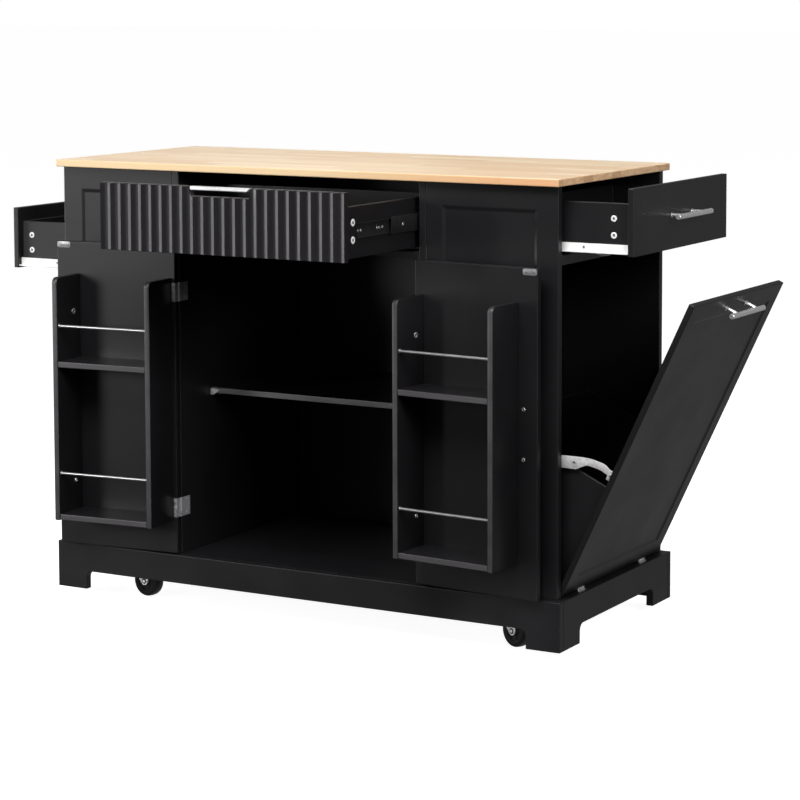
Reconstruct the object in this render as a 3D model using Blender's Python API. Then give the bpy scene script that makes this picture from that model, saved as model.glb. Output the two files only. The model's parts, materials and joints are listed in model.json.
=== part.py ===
"""Kitchen island cart with a fluted drawer, two door racks, two end drawers and a tilt-out bin.

Metres, +Z up, X to the right along the front, +Y to the back.  Every board is drawn in the
cabinet's own frame, with the floor under the cabinet's middle at (0, 0, 0) and everything
closed.  Each moving body hangs on an empty on its joint's axis, and that empty then opens it.
"""

import math

import bmesh
import bpy
from mathutils import Matrix, Vector

# ---------------------------------------------------------------- driving dimensions
GAP = 0.0003  # clearance between pieces that touch
BOARD = 0.015  # carcass boards
THIN = 0.012  # doors, plain drawer fronts, racks and shelves
EDGE = 0.0010  # eased edge on every board

HEIGHT = 0.920
HALF_WIDTH = 0.578  # of the carcass
FRONT = -0.237
BACK = 0.239
MIDDLE_Y = (FRONT + BACK) / 2
UNDER_TOP = HEIGHT - BOARD

WORKTOP_HALF = (0.586, 0.2545)

PLINTH_HALF = (0.592, 0.257)
PLINTH_TOP = 0.114
FOOT_BOTTOM = 0.017
APRON_BOTTOM = 0.055
FOOT_WIDTH = 0.073
FOOT_FILLET = 0.014

OPENING_LEFT = -0.288  # inner faces of the two partitions
OPENING_RIGHT = 0.276
SHELF_FRONT = -0.126
CENTRE_SHELF_TOP = 0.445
CENTRE_RAIL_TOP = 0.767
CENTRE_RAIL_DEPTH = 0.045
LEFT_DIVIDER_TOP = 0.676
LEFT_SHELF_TOP = 0.400
LEFT_SHELF_INSET = 0.010

DOOR_BOTTOM = PLINTH_TOP + 0.003
DOOR_TOP = 0.753
DOOR_EDGE_GAP = 0.0015
DOOR_AXIS_Y = FRONT - 0.002
DOOR_OPEN = math.radians(175)
PANEL_BORDER = 0.050  # frame round a recessed panel
PANEL_EXTRA = 0.010  # more border on a front panel, at its top and at the cart's corner
PANEL_SLOPE = 0.010  # sloping rim of the recess
PANEL_RECESS = 0.0025

RACK_OFFSET = 0.008  # from the door's hinge edge
RACK_WIDTH = 0.229
RACK_DEPTH = 0.090
RACK_BOTTOM = 0.184
RACK_TOP = 0.687
RACK_SHELVES = (("bottom", 0.1975), ("middle", 0.514))  # height of each shelf's top
RACK_RAILS = (("lower", 0.282), ("upper", 0.587))
RAIL_RADIUS = 0.0028

FLUTES = 23
FLUTE_DEPTH = 0.0045
FLUTE_STEPS = 6
CENTRE_FRONT_Z = (0.770, 0.901)
CENTRE_TRAY_Z = (0.7745, 0.872)
CENTRE_TRAY_LENGTH = 0.380
CENTRE_SLIDE_Z = (0.808, 0.843)
CENTRE_SLIDE_RUN = (0.045, 0.370)  # behind the front board
CENTRE_SLIDE_THICKNESS = 0.0045
SLIDE_SPACE = 0.0127  # between a drawer box and the board beside it
CENTRE_OPEN = 0.2725
SCOOP_HALF = 0.073
SCOOP_DEPTH = 0.019
SCOOP_X = -0.0045

END_FRONT_HEIGHT = 0.128
END_FRONT_Z = {"left": 0.683, "right": 0.777}  # underside of each end drawer's front
END_TRAY_Z = (0.0215, 0.0990)  # above the front's underside
END_TRAY_LENGTH = 0.240
END_OPEN = 0.1475
END_INNER = (FRONT + BOARD, BACK - BOARD)  # between the front and the back panel
END_SIDE_GAP = 0.0015  # beside an end drawer's front and the bin's door
END_LEVEL_GAP = 0.0025  # above and below them
TRAY_FLOOR = 0.008

BIN_AXIS = (HALF_WIDTH + 0.0015, PLINTH_TOP + 0.0025)
BIN_OPEN = math.radians(25.3)
BIN_DOOR_TOP = 0.752
BIN_DEPTH = 0.268
BIN_RIM = 0.2345  # above the hinge
BIN_BAR_DROP = 0.024  # from the door's top edge to its bar
BIN_WALL = 0.009
STAY_RADIUS = 0.262
STAY_HALF = 0.0115
STAY_SPAN = (math.radians(3.4), math.radians(30.5))

HANDLE_LENGTH = 0.160
HANDLE_SPACING = 0.096
HANDLE_RADIUS = 0.0052
POST_RADIUS = 0.0042
HANDLE_REACH = 0.027  # face of the board to the bar's centre line
DOOR_HANDLE_REACH = 0.0195  # a door's bar rests on the front panel when it is fully open
DOOR_HANDLE_X = 0.250  # from the hinge's axis
DOOR_HANDLE_Z = 0.435

WHEEL_RADIUS = 0.033
WHEEL_WIDTH = 0.024
CASTER_X = 0.440
CASTER_Y = 0.179
CASTER_TRAIL = 0.028
CASTER_TOP = PLINTH_TOP - BOARD - GAP
CASTER_TURN = {"left": math.radians(-8), "right": math.radians(-21)}
FORK_PLATE = 0.0020
FORK_CLEARANCE = 0.0012  # beside the wheel
FORK_TIP = 0.0085  # radius round the axle
FORK_BACK = -0.014  # end of the bridge behind the stem
STEM_RADIUS = 0.017
AXLE_RADIUS = 0.0030
AXLE_HEAD = 0.0035  # beyond each leg

# The whole cart stands with the middle of its opened outline over the origin.  Its left end
# is the left drawer's bar, its right end the tilted bin's bar, its front the open drawer.
LEFT_END = -(HALF_WIDTH + END_OPEN + GAP + HANDLE_REACH + HANDLE_RADIUS)
BIN_BAR = Vector((HALF_WIDTH + GAP + HANDLE_REACH, BIN_DOOR_TOP - BIN_BAR_DROP)) - Vector(BIN_AXIS)
RIGHT_END = BIN_AXIS[0] + BIN_BAR.dot((math.cos(BIN_OPEN), math.sin(BIN_OPEN))) + HANDLE_RADIUS
FRONT_END = FRONT - CENTRE_OPEN
BACK_END = MIDDLE_Y + PLINTH_HALF[1]
FRAME_SHIFT = -Vector((LEFT_END + RIGHT_END, FRONT_END + BACK_END, 0.0)) / 2


# ---------------------------------------------------------------- materials
def material(name, colour, roughness, metallic=0.0):
    made = bpy.data.materials.new(name)
    made.use_nodes = True
    shader = made.node_tree.nodes["Principled BSDF"]
    shader.inputs["Base Color"].default_value = (*colour, 1.0)
    shader.inputs["Roughness"].default_value = roughness
    shader.inputs["Metallic"].default_value = metallic
    made.diffuse_color = (*colour, 1.0)
    return made


def clear_scene():
    for obj in list(bpy.data.objects):
        bpy.data.objects.remove(obj, do_unlink=True)


clear_scene()
BLACK = material("black_painted_board", (0.012, 0.012, 0.013), 0.45)
FLUTED = material("charcoal_fluted_front", (0.030, 0.029, 0.030), 0.42)
RUBBERWOOD = material("oiled_rubberwood", (0.78, 0.58, 0.36), 0.40)
STEEL = material("brushed_steel", (0.62, 0.62, 0.62), 0.28, 1.0)
WHITE_STEEL = material("white_epoxy_steel", (0.82, 0.82, 0.80), 0.40)
BLACK_STEEL = material("black_slide_steel", (0.03, 0.03, 0.03), 0.35, 1.0)
ZINC = material("zinc_plated_steel", (0.70, 0.71, 0.73), 0.30, 1.0)
TYRE = material("black_caster_wheel", (0.015, 0.015, 0.015), 0.50)


# ---------------------------------------------------------------- bodies and objects
def empty(name, location, parent=None):
    made = bpy.data.objects.new(name, None)
    made.location = location
    made.parent = parent
    bpy.context.scene.collection.objects.link(made)
    return made


CART = empty("cart", FRAME_SHIFT)


class Body:
    """A moving body: an empty on the joint's axis, opened by a slide or a turn."""

    def __init__(self, name, pivot, parent=None, slide=(0, 0, 0), turn=(0, 0, 0)):
        self.pivot = Vector(pivot)
        origin = parent.pivot if parent else Vector((0, 0, 0))
        frame = parent.frame if parent else CART
        self.frame = empty(name + "_axis", self.pivot - origin + Vector(slide), frame)
        self.frame.rotation_euler = turn


CABINET = Body("cabinet", (0, 0, 0))


def add(name, bm, finish, body=CABINET, bevel=0.0, smooth=False):
    """Turn a closed bmesh drawn in the cabinet's frame into an object on its body."""
    bmesh.ops.recalc_face_normals(bm, faces=bm.faces)
    bmesh.ops.translate(bm, verts=bm.verts, vec=-body.pivot)
    mesh = bpy.data.meshes.new(name)
    bm.to_mesh(mesh)
    bm.free()
    return add_mesh(name, mesh, finish, body, bevel, smooth)


def add_mesh(name, mesh, finish, body, bevel=0.0, smooth=False):
    if not mesh.materials:
        mesh.materials.append(finish)
    if smooth:
        mesh.shade_smooth()
        mesh.set_sharp_from_angle(angle=math.radians(35))
    obj = bpy.data.objects.new(name, mesh)
    obj.parent = body.frame
    bpy.context.scene.collection.objects.link(obj)
    if bevel:
        eased = obj.modifiers.new("eased_edges", "BEVEL")
        eased.width = bevel
        eased.segments = 2
        eased.limit_method = "ANGLE"
        eased.angle_limit = math.radians(60)
    return obj


def box(low, high, bm=None):
    """A box between two corners."""
    bm = bm or bmesh.new()
    middle = (Vector(low) + Vector(high)) / 2
    size = Vector(high) - Vector(low)
    place = Matrix.Translation(middle) @ Matrix.Diagonal((*size, 1.0))
    bmesh.ops.create_cube(bm, size=1.0, matrix=place)
    return bm


def board(name, low, high, body=CABINET, finish=BLACK, bevel=EDGE):
    return add(name, box(low, high), finish, body, bevel)


def panelled_board(name, low, high, outward, body=CABINET, corner=0):
    """A board with a shallow recessed panel in the face that looks outward.

    A front panel gives the side of the cart's corner, -1 or 1 along X, where its border is wider.
    """
    bm = box(low, high)
    bm.normal_update()
    face = max(bm.faces, key=lambda f: f.normal.dot(Vector(outward)))
    bmesh.ops.inset_region(bm, faces=[face], thickness=PANEL_BORDER)
    if corner:
        middle = face.calc_center_median()
        for vert in face.verts:
            if (vert.co.x - middle.x) * corner > 0:
                vert.co.x -= corner * PANEL_EXTRA
            if vert.co.z > middle.z:
                vert.co.z -= PANEL_EXTRA
    bmesh.ops.inset_region(bm, faces=[face], thickness=PANEL_SLOPE, depth=-PANEL_RECESS)
    return add(name, bm, BLACK, body, EDGE)


def prism(outline, axis, start, end, bm=None):
    """An outline of points, extruded along an axis: for axis X the points are (y, z) and so on."""
    bm = bm or bmesh.new()

    def place(point, along):
        u, v = point
        return {"X": (along, u, v), "Y": (u, along, v), "Z": (u, v, along)}[axis]

    verts = [bm.verts.new(place(point, start)) for point in outline]
    face = bm.faces.new(verts)
    moved = bmesh.ops.extrude_face_region(bm, geom=[face])
    copies = [item for item in moved["geom"] if isinstance(item, bmesh.types.BMVert)]
    shift = Vector(place((0, 0), end)) - Vector(place((0, 0), start))
    bmesh.ops.translate(bm, verts=copies, vec=shift)
    return bm


def arc(centre, radius, start, end, steps):
    """Points along an arc, in degrees."""
    points = []
    for step in range(steps + 1):
        angle = math.radians(start + (end - start) * step / steps)
        points.append((centre[0] + radius * math.cos(angle), centre[1] + radius * math.sin(angle)))
    return points


def rod(start, end, radius, segments=16, bm=None):
    """A round bar between two points."""
    bm = bm or bmesh.new()
    start, end = Vector(start), Vector(end)
    turn = Vector((0, 0, 1)).rotation_difference(end - start).to_matrix().to_4x4()
    bmesh.ops.create_cone(
        bm,
        cap_ends=True,
        segments=segments,
        radius1=radius,
        radius2=radius,
        depth=(end - start).length,
        matrix=Matrix.Translation((start + end) / 2) @ turn,
    )
    return bm


def helper(bm, body):
    """A cutter or an added piece for a Boolean, left out of the model."""
    bmesh.ops.recalc_face_normals(bm, faces=bm.faces)
    bmesh.ops.translate(bm, verts=bm.verts, vec=-body.pivot)
    mesh = bpy.data.meshes.new("helper")
    bm.to_mesh(mesh)
    bm.free()
    obj = bpy.data.objects.new("helper", mesh)
    obj.parent = body.frame
    obj.hide_render = True
    obj.display_type = "WIRE"
    bpy.context.scene.collection.objects.link(obj)
    return obj


def combine(obj, bm, body, operation="UNION"):
    change = obj.modifiers.new(operation.lower(), "BOOLEAN")
    change.operation = operation
    change.solver = "EXACT"
    change.object = helper(bm, body)


# ---------------------------------------------------------------- carcass
def make_worktop():
    x, y = WORKTOP_HALF
    low = (-x, MIDDLE_Y - y, UNDER_TOP + GAP)
    board("worktop", low, (x, MIDDLE_Y + y, HEIGHT), finish=RUBBERWOOD, bevel=0.0018)


def foot_outline(half):
    """A plinth board seen from its face: a foot at each end and a raised apron between."""
    inner = half - FOOT_WIDTH
    corner = (inner - FOOT_FILLET, APRON_BOTTOM - FOOT_FILLET)
    right = [(half, PLINTH_TOP), (half, FOOT_BOTTOM), (inner, FOOT_BOTTOM)]
    right += arc(corner, FOOT_FILLET, 0, 90, 6)
    left = [(-u, v) for u, v in reversed(right)]
    return right + left


def make_plinth():
    half_x, half_y = PLINTH_HALF
    front = MIDDLE_Y - half_y
    back = MIDDLE_Y + half_y
    for name, start in (("plinth_front", front), ("plinth_back", back - BOARD)):
        bm = prism(foot_outline(half_x), "Y", start, start + BOARD)
        add(name, bm, BLACK, bevel=EDGE)
    side_half = half_y - BOARD - GAP
    side = [(MIDDLE_Y + u, v) for u, v in foot_outline(side_half)]
    for name, start in (("plinth_left", -half_x), ("plinth_right", half_x - BOARD)):
        add(name, prism(side, "X", start, start + BOARD), BLACK, bevel=EDGE)
    inset = BOARD + GAP
    board(
        "bottom_deck",
        (-half_x + inset, front + inset, PLINTH_TOP - BOARD),
        (half_x - inset, back - inset, PLINTH_TOP),
    )


def make_carcass():
    floor = PLINTH_TOP + GAP
    behind = BACK - BOARD - GAP
    left_face = OPENING_LEFT - BOARD
    right_face = OPENING_RIGHT + BOARD
    board("back_panel", (-HALF_WIDTH, BACK - BOARD, floor), (HALF_WIDTH, BACK, UNDER_TOP))
    board("partition_left", (left_face, FRONT, floor), (OPENING_LEFT, behind, UNDER_TOP))
    board("partition_right", (OPENING_RIGHT, FRONT, floor), (right_face, behind, UNDER_TOP))
    inner = FRONT + BOARD
    forward = (0, -1, 0)
    low = (-HALF_WIDTH, FRONT, floor)
    high = (left_face - GAP, inner, UNDER_TOP)
    panelled_board("front_panel_left", low, high, forward, corner=-1)
    low = (right_face + GAP, FRONT, floor)
    high = (HALF_WIDTH, inner, UNDER_TOP)
    panelled_board("front_panel_right", low, high, forward, corner=1)
    board(
        "centre_drawer_rail",
        (OPENING_LEFT + GAP, FRONT, CENTRE_RAIL_TOP - THIN),
        (OPENING_RIGHT - GAP, FRONT + CENTRE_RAIL_DEPTH, CENTRE_RAIL_TOP),
    )
    board(
        "centre_shelf",
        (OPENING_LEFT + GAP, SHELF_FRONT, CENTRE_SHELF_TOP - THIN),
        (OPENING_RIGHT - GAP, behind, CENTRE_SHELF_TOP),
    )


def make_end_boards():
    """Fixed boards of the two ends, between the front and the back panel."""
    front = END_INNER[0] + GAP
    back = END_INNER[1] - GAP
    outer = HALF_WIDTH
    left_face = OPENING_LEFT - BOARD - GAP
    above_drawer = END_FRONT_Z["left"] + END_FRONT_HEIGHT + END_LEVEL_GAP
    board(
        "left_end_apron",
        (-outer, front, above_drawer),
        (-outer + BOARD, back, UNDER_TOP),
    )
    low = (-outer, front, LEFT_DIVIDER_TOP - THIN)
    board("left_divider", low, (left_face, back, LEFT_DIVIDER_TOP))
    low = (-outer + LEFT_SHELF_INSET, front, LEFT_SHELF_TOP - THIN)
    board("left_shelf", low, (left_face, back, LEFT_SHELF_TOP))
    board(
        "right_drawer_rail",
        (outer - BOARD, front, BIN_DOOR_TOP + END_LEVEL_GAP),
        (outer, back, END_FRONT_Z["right"] - END_LEVEL_GAP),
    )


# ---------------------------------------------------------------- handles and drawer boxes
def make_handle(name, face, along, outward, reach, body):
    """A T-bar handle: a bar on two posts, standing off the face at a point."""
    face, along, outward = Vector(face), Vector(along), Vector(outward)
    centre = face + outward * (reach + GAP)
    half = along * HANDLE_LENGTH / 2
    bar = add(name, rod(centre - half, centre + half, HANDLE_RADIUS), STEEL, body, smooth=True)
    for side in (-1, 1):
        foot = face + outward * GAP + along * side * HANDLE_SPACING / 2
        combine(bar, rod(foot, foot + outward * reach, POST_RADIUS, 12), body)


def tray(low, high, wall, floor):
    """An open box: the four sides and the bottom of a drawer."""
    bm = box(low, high)
    bm.normal_update()
    top = max(bm.faces, key=lambda f: f.normal.z)
    bmesh.ops.inset_region(bm, faces=[top], thickness=wall)
    depth = high[2] - low[2] - floor
    moved = bmesh.ops.extrude_face_region(bm, geom=[top])
    verts = [item for item in moved["geom"] if isinstance(item, bmesh.types.BMVert)]
    bmesh.ops.translate(bm, verts=verts, vec=(0, 0, -depth))
    bmesh.ops.delete(bm, geom=[top], context="FACES_ONLY")
    return bm


def fluted_outline(left, right, face, back):
    """Concave flutes side by side along the front, meeting in ridges on the face."""
    pitch = (right - left) / FLUTES
    points = []
    for flute in range(FLUTES):
        for step in range(FLUTE_STEPS):
            share = step / FLUTE_STEPS
            hollow = FLUTE_DEPTH * math.sin(math.pi * share) ** 0.8
            points.append((left + pitch * (flute + share), face + hollow))
    points.append((right, face))
    return points + [(right, back), (left, back)]


def make_centre_drawer():
    body = Body("centre_drawer", (0, 0, 0), slide=(0, -CENTRE_OPEN, 0))
    left, right = OPENING_LEFT + 0.0065, OPENING_RIGHT - 0.0035
    back = FRONT + BOARD
    low, high = CENTRE_FRONT_Z
    outline = fluted_outline(left, right, FRONT, back)
    front = add("centre_drawer_front", prism(outline, "Z", low, high), FLUTED, body)
    scoop = [
        (SCOOP_X - SCOOP_HALF, high + 0.01),
        (SCOOP_X - SCOOP_HALF, high - 0.003),
        (SCOOP_X - SCOOP_HALF + 0.008, high - SCOOP_DEPTH),
        (SCOOP_X + SCOOP_HALF - 0.008, high - SCOOP_DEPTH),
        (SCOOP_X + SCOOP_HALF, high - 0.003),
        (SCOOP_X + SCOOP_HALF, high + 0.01),
    ]
    combine(front, prism(scoop, "Y", FRONT - 0.01, back + 0.01), body, "DIFFERENCE")

    # The metal pull bridges the scoop at the back of the front board: an upright strip
    # with its lower edge turned forward.
    lip = [
        (back - 0.0100, high - 0.0005),
        (back - 0.0005, high - 0.0005),
        (back - 0.0005, high - 0.0125),
        (back - 0.0060, high - 0.0125),
        (back - 0.0060, high - 0.0110),
        (back - 0.0020, high - 0.0110),
        (back - 0.0020, high - 0.0020),
        (back - 0.0100, high - 0.0020),
    ]
    reach = SCOOP_HALF - GAP
    # Its ends stop short of the slanted cheeks of the scoop.
    lip_bm = prism(lip, "X", SCOOP_X - reach + 0.005, SCOOP_X + reach - 0.005)
    add("centre_drawer_pull", lip_bm, STEEL, body)

    low, high = CENTRE_TRAY_Z
    tray_left, tray_right = OPENING_LEFT + SLIDE_SPACE, OPENING_RIGHT - SLIDE_SPACE
    start = back + GAP
    far = (tray_right, start + CENTRE_TRAY_LENGTH, high)
    bm = tray((tray_left, start, low), far, THIN, TRAY_FLOOR)
    add("centre_drawer_box", bm, BLACK, body)
    low, high = CENTRE_SLIDE_Z
    near, far = (back + reach for reach in CENTRE_SLIDE_RUN)
    reach = GAP + CENTRE_SLIDE_THICKNESS
    for name, outer, inner in (
        ("centre_slide_left", tray_left - reach, tray_left - GAP),
        ("centre_slide_right", tray_right + GAP, tray_right + reach),
    ):
        board(name, (outer, near, low), (inner, far, high), body, BLACK_STEEL, 0.0012)


def make_end_drawer(side, sign):
    """A plain drawer in one end, sliding out along X."""
    name = side + "_drawer"
    body = Body(name, (0, 0, 0), slide=(sign * END_OPEN, 0, 0))
    front, back = END_INNER
    bottom = END_FRONT_Z[side]
    outer = sign * HALF_WIDTH
    inner = sign * (HALF_WIDTH - THIN)
    low = (min(outer, inner), front + END_SIDE_GAP, bottom)
    high = (max(outer, inner), back - END_SIDE_GAP, bottom + END_FRONT_HEIGHT)
    board(name + "_front", low, high, body)

    start, end = sorted((inner - sign * GAP, inner - sign * END_TRAY_LENGTH))
    tray_front, tray_back = front + SLIDE_SPACE + 0.001, back - SLIDE_SPACE - 0.001
    base, rim = bottom + END_TRAY_Z[0], bottom + END_TRAY_Z[1]
    bm = tray((start, tray_front, base), (end, tray_back, rim), THIN, TRAY_FLOOR)
    add(name + "_box", bm, BLACK, body)

    # Each slide is a folded strip: a flange under the box, a web and a flange outward.
    for edge, y, out in (("front", tray_front, -1), ("back", tray_back, 1)):
        top = base - GAP
        web = y + out * 0.0015
        profile = [
            (y - out * 0.0100, top),
            (web + out * 0.0015, top),
            (web + out * 0.0015, top - 0.0155),
            (y + out * 0.0110, top - 0.0155),
            (y + out * 0.0110, top - 0.0170),
            (web, top - 0.0170),
            (web, top - 0.0015),
            (y - out * 0.0100, top - 0.0015),
        ]
        add(f"{side}_slide_{edge}", prism(profile, "X", start, end), WHITE_STEEL, body)

    height = bottom + END_FRONT_HEIGHT / 2 + 0.0015
    face = (outer, MIDDLE_Y, height)
    make_handle(name + "_handle", face, (0, 1, 0), (sign, 0, 0), HANDLE_REACH, body)


# ---------------------------------------------------------------- doors with racks
def make_door(side, hinge_x, sign):
    """A door whose closed leaf runs from its hinge towards sign * X, with a rack behind it."""
    name = side + "_door"
    pivot = (hinge_x, DOOR_AXIS_Y, 0)
    body = Body(name, pivot, turn=(0, 0, -sign * DOOR_OPEN))
    width = (OPENING_RIGHT - OPENING_LEFT) / 2 - DOOR_EDGE_GAP - 0.001
    edge = hinge_x + sign * DOOR_EDGE_GAP
    inner = FRONT + THIN

    def span(near, far):
        """Lowest and highest x of a stretch measured from the door's hinge edge."""
        return sorted((edge + sign * near, edge + sign * far))

    left, right = span(0, width)
    low, high = (left, FRONT, DOOR_BOTTOM), (right, inner, DOOR_TOP)
    panelled_board(name + "_panel", low, high, (0, -1, 0), body)
    face = (hinge_x + sign * DOOR_HANDLE_X, FRONT, DOOR_HANDLE_Z)
    make_handle(name + "_handle", face, (0, 0, 1), (0, -1, 0), DOOR_HANDLE_REACH, body)

    start = inner + GAP
    end = inner + RACK_DEPTH
    round_top = arc((end - 0.012, RACK_TOP - 0.012), 0.012, 0, 90, 4)
    outline = [(start, RACK_BOTTOM), (end, RACK_BOTTOM), *round_top, (start, RACK_TOP)]
    for place, near in (("hinge", RACK_OFFSET), ("free", RACK_OFFSET + RACK_WIDTH - THIN)):
        left, right = span(near, near + THIN)
        bm = prism(outline, "X", left, right)
        add(f"{side}_rack_{place}_side", bm, BLACK, body, EDGE)
    near = RACK_OFFSET + THIN + GAP
    left, right = span(near, RACK_OFFSET + RACK_WIDTH - THIN - GAP)
    for place, top in RACK_SHELVES:
        low, high = (left, start, top - THIN), (right, end - 0.001, top)
        board(f"{side}_rack_{place}_shelf", low, high, body)
    for place, height in RACK_RAILS:
        y = end - 0.008
        bm = rod((left, y, height), (right, y, height), RAIL_RADIUS, 12)
        add(f"{side}_rack_{place}_rail", bm, STEEL, body, smooth=True)


# ---------------------------------------------------------------- tilt-out bin
def make_bin():
    axis_x, axis_z = BIN_AXIS
    body = Body("bin", (axis_x, 0, axis_z), turn=(0, BIN_OPEN, 0))
    front, back = END_INNER
    inner = HALF_WIDTH - THIN
    low = (inner, front + END_SIDE_GAP, DOOR_BOTTOM)
    high = (HALF_WIDTH, back - END_SIDE_GAP, BIN_DOOR_TOP)
    panelled_board("bin_door", low, high, (1, 0, 0), body)
    face = (HALF_WIDTH, MIDDLE_Y, BIN_DOOR_TOP - BIN_BAR_DROP)
    make_handle("bin_door_handle", face, (0, 1, 0), (1, 0, 0), HANDLE_REACH, body)
    low = (inner - GAP - BIN_DEPTH, front + 0.0165, axis_z + 0.0045)
    high = (inner - GAP, back - 0.0175, axis_z + BIN_RIM)
    add("bin_box", tray(low, high, BIN_WALL, BIN_WALL), BLACK, body)

    # The stay is an arc about the hinge, so it slides straight through its guide.
    first, last = STAY_SPAN
    outline = []
    for radius, angles in (
        (STAY_RADIUS + STAY_HALF, (first, last)),
        (STAY_RADIUS - STAY_HALF, (last, first)),
    ):
        for step in range(13):
            angle = angles[0] + (angles[1] - angles[0]) * step / 12
            outline.append((axis_x - radius * math.sin(angle), axis_z + radius * math.cos(angle)))
    bm = prism(outline, "Y", front + 0.0080, front + 0.0100)
    add("bin_stay", bm, ZINC, body)


# ---------------------------------------------------------------- casters
def fork_pieces():
    """The stem of a fork about the point under it, and what is joined to it.

    The axle lies CASTER_TRAIL along +X.
    """
    bridge = WHEEL_RADIUS * 2 + 0.004
    inner = WHEEL_WIDTH / 2 + FORK_CLEARANCE
    outer = inner + FORK_PLATE
    ahead = CASTER_TRAIL + FORK_TIP
    stem = rod((0, 0, bridge), (0, 0, CASTER_TOP), STEM_RADIUS, 20)
    low = (FORK_BACK, -outer, bridge - FORK_PLATE / 2)
    pieces = [box(low, (ahead, outer, bridge + FORK_PLATE))]
    tip = arc((CASTER_TRAIL, WHEEL_RADIUS), FORK_TIP, -145, 0, 6)
    leg = [(FORK_BACK, bridge), *tip, (ahead, bridge)]
    pieces.append(prism(leg, "Y", -outer, -inner))
    pieces.append(prism(leg, "Y", inner, outer))
    reach = outer + AXLE_HEAD
    start = (CASTER_TRAIL, -reach, WHEEL_RADIUS)
    pieces.append(rod(start, (CASTER_TRAIL, reach, WHEEL_RADIUS), AXLE_RADIUS, 12))
    return stem, pieces


def wheel_mesh():
    """A wheel about its axle along Y: tread, side walls with a dished hub, and the bore."""
    half = WHEEL_WIDTH / 2
    profile = [
        (AXLE_RADIUS + 0.0006, -half),
        (0.0090, -half),
        (0.0105, -half + 0.0030),
        (0.0185, -half + 0.0030),
        (0.0205, -half + 0.0010),
        (WHEEL_RADIUS - 0.0028, -half + 0.0010),
        (WHEEL_RADIUS, -half + 0.0045),
    ]
    profile += [(radius, -y) for radius, y in reversed(profile)]
    bm = bmesh.new()
    steps = 28
    rings = []
    for step in range(steps):
        angle = 2 * math.pi * step / steps
        ring = [
            bm.verts.new((radius * math.cos(angle), y, radius * math.sin(angle)))
            for radius, y in profile
        ]
        rings.append(ring)
    count = len(profile)
    for step in range(steps):
        here, there = rings[step], rings[(step + 1) % steps]
        for point in range(count):
            after = (point + 1) % count
            bm.faces.new((here[point], here[after], there[after], there[point]))
    return bm


def make_casters():
    wheel = None
    for end, x in (("left", -CASTER_X), ("right", CASTER_X)):
        for depth, y in (("front", MIDDLE_Y - CASTER_Y), ("back", MIDDLE_Y + CASTER_Y)):
            name = f"caster_{depth}_{end}"
            swivel = Body(name, (x, y, 0), turn=(0, 0, CASTER_TURN[end]))
            stem, pieces = fork_pieces()
            bmesh.ops.translate(stem, verts=stem.verts, vec=swivel.pivot)
            fork = add(name + "_fork", stem, ZINC, swivel)
            for piece in pieces:
                bmesh.ops.translate(piece, verts=piece.verts, vec=swivel.pivot)
                combine(fork, piece, swivel)
            axle = (x + CASTER_TRAIL, y, WHEEL_RADIUS)
            roll = Body(name + "_roll", axle, parent=swivel)
            if wheel is None:
                bm = wheel_mesh()
                bmesh.ops.translate(bm, verts=bm.verts, vec=roll.pivot)
                wheel = add(name + "_wheel", bm, TYRE, roll, smooth=True).data
            else:
                add_mesh(name + "_wheel", wheel, TYRE, roll)


make_worktop()
make_plinth()
make_carcass()
make_end_boards()
make_centre_drawer()
make_end_drawer("left", -1)
make_end_drawer("right", 1)
make_door("left", OPENING_LEFT, 1)
make_door("right", OPENING_RIGHT, -1)
make_bin()
make_casters()
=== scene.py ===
"""Looks of the kitchen island cart: finishes, metal fittings, studio and camera.

Pieces are drawn in the cabinet's own coordinates, in metres: the floor under the cabinet's
middle at (0, 0, 0), +X to the right, +Y to the back, everything closed.  CLOSED_TO_REST then
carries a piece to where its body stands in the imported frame.
"""

import json
import math

import bmesh
import bpy
from mathutils import Matrix, Vector


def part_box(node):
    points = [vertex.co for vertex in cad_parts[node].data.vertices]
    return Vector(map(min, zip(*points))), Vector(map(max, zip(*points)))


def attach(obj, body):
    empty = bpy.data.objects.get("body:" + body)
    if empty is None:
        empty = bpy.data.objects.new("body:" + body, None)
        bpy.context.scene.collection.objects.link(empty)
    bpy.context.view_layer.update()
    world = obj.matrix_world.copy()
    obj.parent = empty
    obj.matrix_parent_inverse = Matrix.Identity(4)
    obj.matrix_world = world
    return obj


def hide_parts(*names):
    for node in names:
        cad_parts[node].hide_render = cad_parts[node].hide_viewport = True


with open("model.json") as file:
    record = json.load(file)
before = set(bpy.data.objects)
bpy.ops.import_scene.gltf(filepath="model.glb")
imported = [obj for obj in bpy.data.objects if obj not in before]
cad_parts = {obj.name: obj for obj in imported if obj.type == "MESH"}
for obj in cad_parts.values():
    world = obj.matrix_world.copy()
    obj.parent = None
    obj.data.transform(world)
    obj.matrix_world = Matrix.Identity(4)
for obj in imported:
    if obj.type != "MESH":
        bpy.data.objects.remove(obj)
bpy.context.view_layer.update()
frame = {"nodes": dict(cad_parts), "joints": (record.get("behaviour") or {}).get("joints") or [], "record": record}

# ---- driving dimensions
GAP = 0.0003
BOARD = 0.015
THIN = 0.012
HALF_WIDTH = 0.578
FRONT = -0.237
BACK = 0.239
MIDDLE_Y = 0.001
PLINTH_TOP = 0.114
OPENING_LEFT = -0.288
OPENING_RIGHT = 0.276
DOOR_TOP = 0.753
DOOR_EDGE_GAP = 0.0015
DOOR_WIDTH = 0.2795
DOOR_AXIS_Y = FRONT - 0.002
DOOR_INNER = FRONT + THIN
DOOR_HANDLE = (0.250, 0.435, 0.0195)  # from the hinge, height, face to bar
DOOR_HINGES = (0.6575, 0.2115)  # heights
KNUCKLES = 5

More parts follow.
